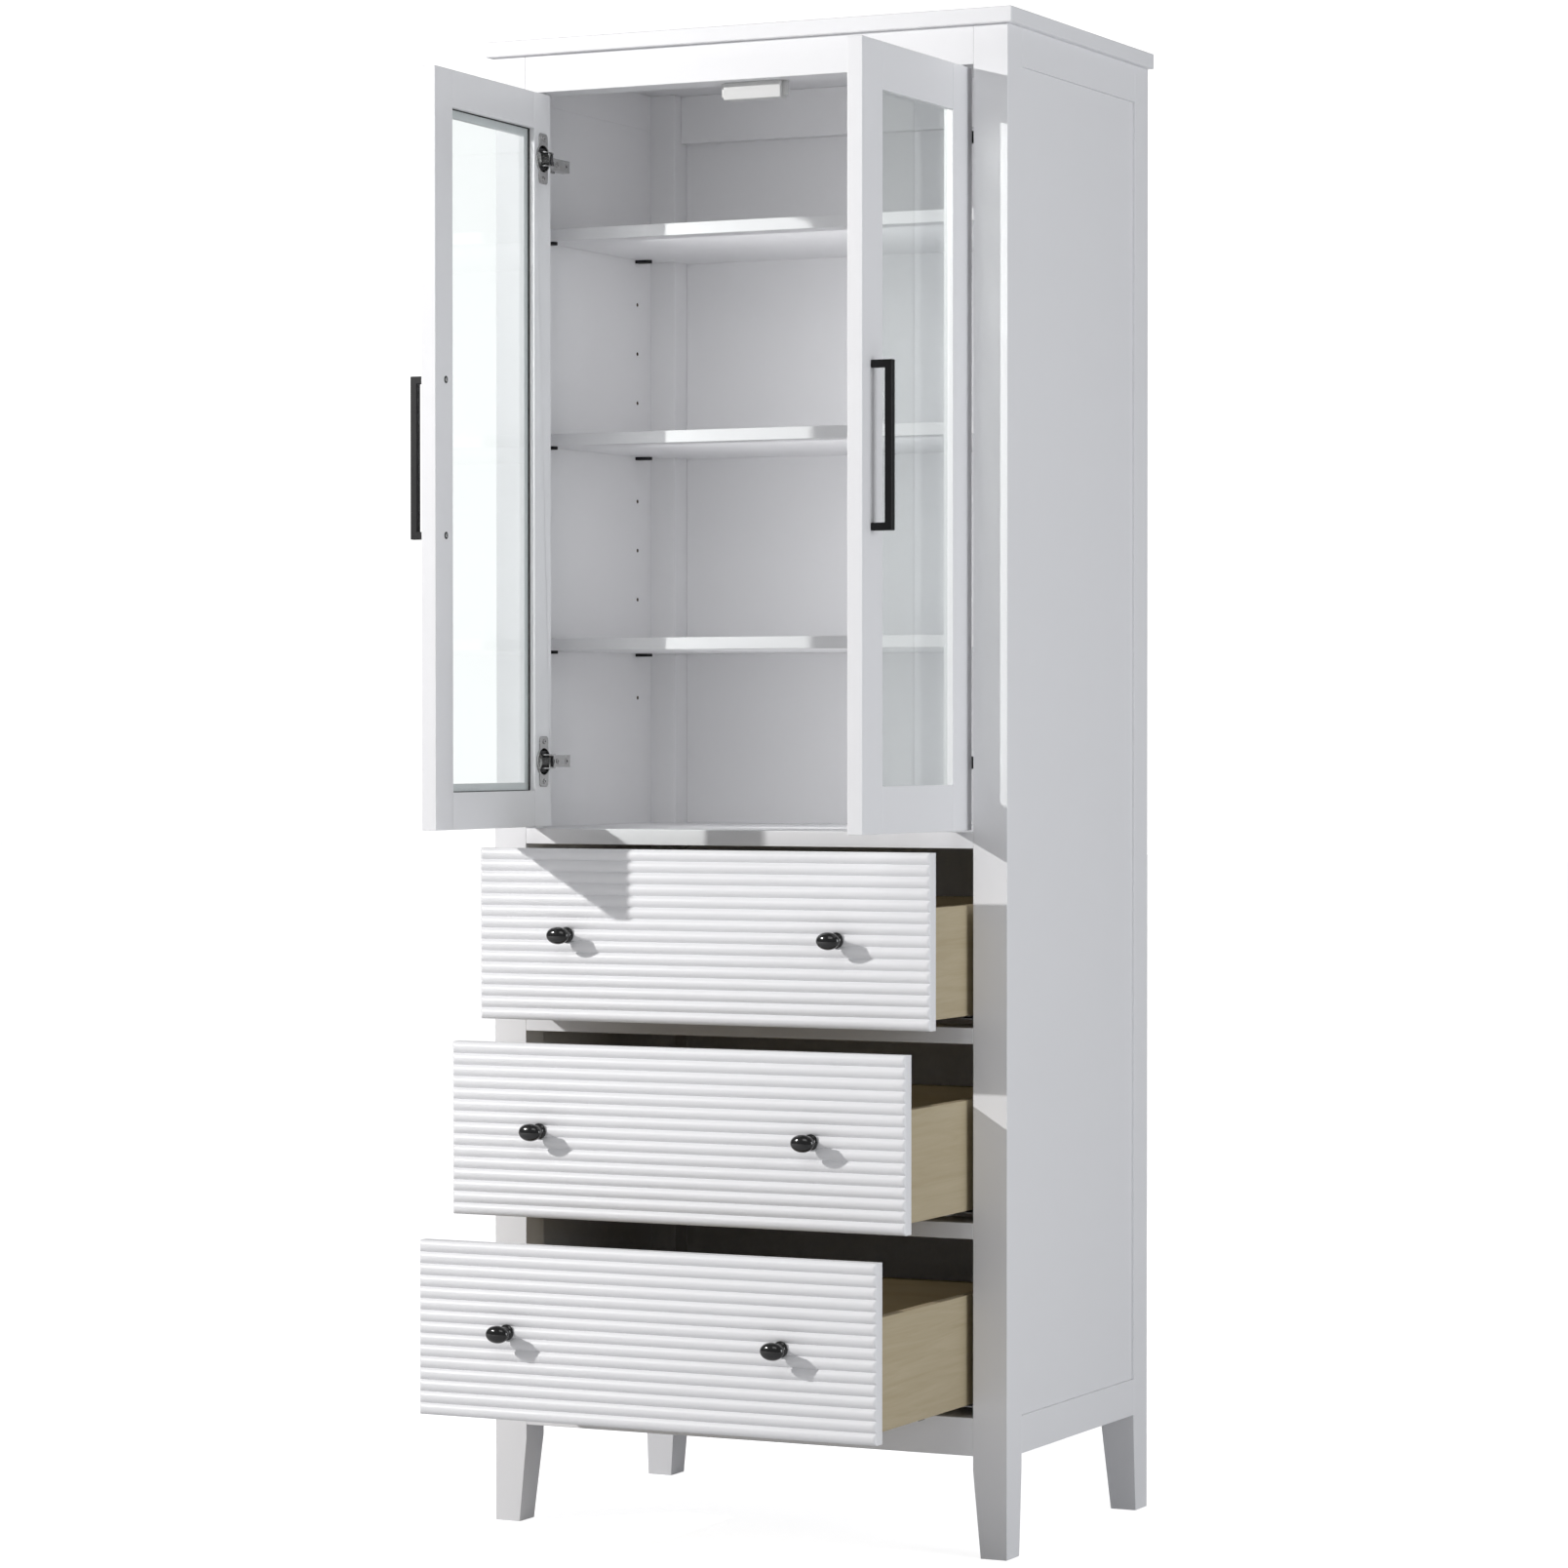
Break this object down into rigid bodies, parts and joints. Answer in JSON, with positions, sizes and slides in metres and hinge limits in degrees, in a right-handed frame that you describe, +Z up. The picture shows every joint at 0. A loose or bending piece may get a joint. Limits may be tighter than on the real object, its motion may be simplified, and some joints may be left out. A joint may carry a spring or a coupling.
{
  "type": "apothecary cabinet",
  "caption": "Tall white cabinet on tapered legs, with framed glass doors over shelves and reeded drawers with knobs below.",
  "frame": {"origin": "centre of the bounding box at rest, at floor level, with doors open and drawers pulled out as stored", "axes": "+X to the viewer's right when facing the doors, +Y from the doors to the back, +Z up"},
  "size_m": [0.708, 0.738, 1.829],
  "materials": {
    "lacquer": "satin white lacquer",
    "plywood": "clear sealed",
    "glass": "clear, faint green",
    "handle": "satin black",
    "knob": "gloss black",
    "hinge": "nickel plated",
    "runner": "zinc plated",
    "catch": "moulded white"
  },
  "bodies": {
    "case": {"top_board": "lacquer", "front_post_left": "lacquer", "rear_post_left": "lacquer", "side_panel_left": "lacquer", "side_top_rail_left": "lacquer", "side_bottom_rail_left": "lacquer", "front_post_right": "lacquer", "rear_post_right": "lacquer", "side_panel_right": "lacquer", "side_top_rail_right": "lacquer", "side_bottom_rail_right": "lacquer", "front_top_rail": "lacquer", "front_apron": "lacquer", "drawer_rail_1": "lacquer", "drawer_rail_2": "lacquer", "deck": "lacquer", "back_panel": "lacquer", "back_top_rail": "lacquer", "shelf_1": "lacquer", "shelf_2": "lacquer", "shelf_3": "lacquer", "door_catch": "catch", "hinge_arm_left_upper": "hinge", "hinge_arm_left_lower": "hinge", "hinge_arm_right_upper": "hinge", "hinge_arm_right_lower": "hinge", "drawer_1_runner_left": "runner", "drawer_1_runner_right": "runner", "drawer_2_runner_left": "runner", "drawer_2_runner_right": "runner", "drawer_3_runner_left": "runner", "drawer_3_runner_right": "runner"},
    "door_left": {"door_left_hinge_stile": "lacquer", "door_left_free_stile": "lacquer", "door_left_top_rail": "lacquer", "door_left_bottom_rail": "lacquer", "door_left_glass": "glass", "door_left_handle": "handle", "hinge_cup_left_upper": "hinge", "hinge_cup_left_lower": "hinge"},
    "door_right": {"door_right_hinge_stile": "lacquer", "door_right_free_stile": "lacquer", "door_right_top_rail": "lacquer", "door_right_bottom_rail": "lacquer", "door_right_glass": "glass", "door_right_handle": "handle", "hinge_cup_right_upper": "hinge", "hinge_cup_right_lower": "hinge"},
    "drawer_1": {"drawer_1_front": "lacquer", "drawer_1_box": "plywood", "drawer_1_knob_left": "knob", "drawer_1_knob_right": "knob"},
    "drawer_2": {"drawer_2_front": "lacquer", "drawer_2_box": "plywood", "drawer_2_knob_left": "knob", "drawer_2_knob_right": "knob"},
    "drawer_3": {"drawer_3_front": "lacquer", "drawer_3_box": "plywood", "drawer_3_knob_left": "knob", "drawer_3_knob_right": "knob"}
  },
  "joints": [
    {"name": "door_left_hinge", "type": "hinge", "parent": "case", "child": "door_left", "pos_m": [-0.289, -0.0685, 1.3115], "axis": [0, 0, 1], "range_deg": [-20, 88]},
    {"name": "door_right_hinge", "type": "hinge", "parent": "case", "child": "door_right", "pos_m": [0.289, -0.0685, 1.3115], "axis": [0, 0, -1], "range_deg": [-20, 89.5]},
    {"name": "drawer_1_slide", "type": "slide", "parent": "case", "child": "drawer_1", "axis": [0, -1, 0], "range_m": [-0.119, 0.221]},
    {"name": "drawer_2_slide", "type": "slide", "parent": "case", "child": "drawer_2", "axis": [0, -1, 0], "range_m": [-0.187, 0.153]},
    {"name": "drawer_3_slide", "type": "slide", "parent": "case", "child": "drawer_3", "axis": [0, -1, 0], "range_m": [-0.266, 0.074]}
  ]
}
